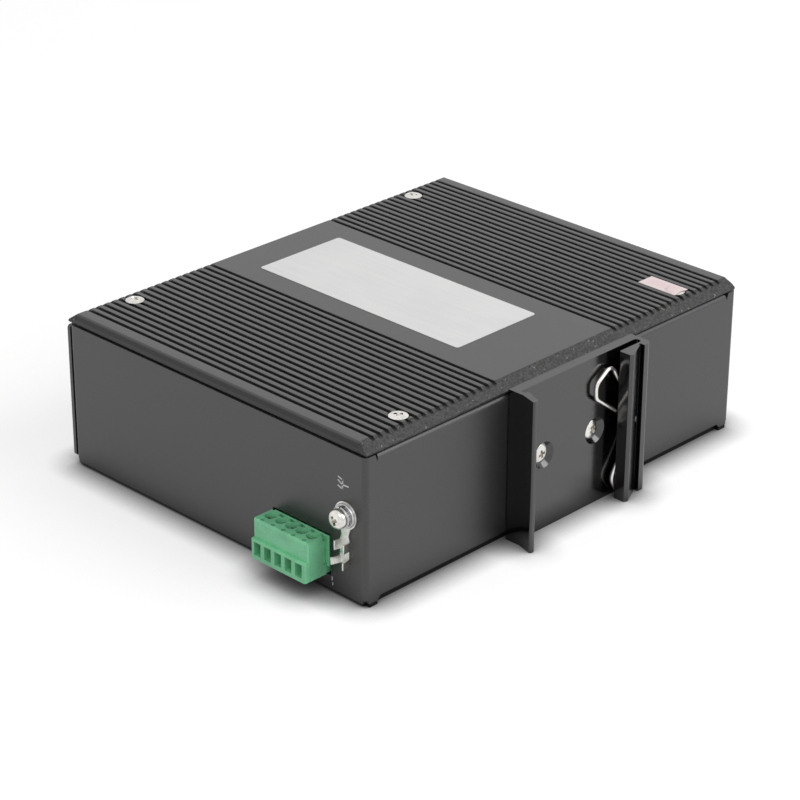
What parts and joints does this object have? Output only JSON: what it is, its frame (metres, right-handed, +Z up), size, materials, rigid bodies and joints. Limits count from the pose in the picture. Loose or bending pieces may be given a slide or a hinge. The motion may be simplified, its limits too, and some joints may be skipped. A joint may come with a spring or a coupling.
{
  "type": "din rail ethernet switch",
  "caption": "Industrial network switch in a folded steel case with a finned cover, a sprung rail clip, a pluggable green terminal block and a grounding screw.",
  "frame": {"origin": "middle of the housing's underside, the broad plain face that the switch lies on", "axes": "+X out of the terminal face, +Y out of the rail clip, -Y out of the port face, +Z up through the finned cover"},
  "size_m": [0.1426, 0.1153, 0.0427],
  "materials": {
    "coated_steel": "fine dark grey powder coat",
    "coated_aluminium": "dark grey powder coat over an aluminium extrusion",
    "clip_aluminium": "black coated aluminium extrusion",
    "panel_film": "dark grey matt front plate",
    "label_film": "bare light grey film",
    "seal_film": "bare pale seal film",
    "spring_steel": "bright spring wire",
    "nickel_steel": "nickel plated",
    "zinc_steel": "zinc plated",
    "tin_plate": "bright tin plate",
    "green_plastic": "moulded green polyamide",
    "black_plastic": "moulded black plastic",
    "board_laminate": "green solder mask on glass laminate",
    "gold_brass": "gold plated",
    "lamp_plastic": "diffused lens",
    "package_plastic": "moulded package",
    "silicone_pad": "soft gap pad",
    "bare_aluminium": "mill finish",
    "ferrite": "pressed ferrite",
    "can_aluminium": "bare can",
    "fuse_ceramic": "ceramic body",
    "relay_plastic": "moulded cover"
  },
  "bodies": {
    "housing": {"chassis": "coated_steel", "front_panel": "panel_film", "finned_cover": "coated_aluminium", "cover_screws": "nickel_steel", "rating_label": "label_film", "seal_sticker": "seal_film", "din_clip": "clip_aluminium", "clip_spring": "spring_steel", "clip_screws": "nickel_steel", "clinch_nuts": "zinc_steel", "ground_screw": "nickel_steel", "ground_lock_washer": "zinc_steel", "ground_flat_washer": "zinc_steel", "ground_ring_terminal": "tin_plate", "header_housing": "green_plastic", "header_pins": "tin_plate", "circuit_board": "board_laminate", "board_standoffs": "zinc_steel", "board_screws": "zinc_steel", "jack_housing": "black_plastic", "jack_shield": "tin_plate", "jack_contacts": "gold_brass", "led_holder": "black_plastic", "status_leds": "lamp_plastic", "switch_chip": "package_plastic", "thermal_pad": "silicone_pad", "chip_heatsink": "bare_aluminium", "network_transformers": "package_plastic", "power_inductor": "ferrite", "bulk_capacitors": "can_aluminium", "input_fuse": "fuse_ceramic", "alarm_relay": "relay_plastic"},
    "terminal_plug": {"plug_housing": "green_plastic", "plug_screws": "zinc_steel", "plug_clamps": "zinc_steel", "plug_contacts": "tin_plate"}
  },
  "joints": [
    {"name": "plug_withdraw", "type": "slide", "parent": "housing", "child": "terminal_plug", "axis": [1, 0, 0], "range_m": [0, 0.0075]}
  ]
}
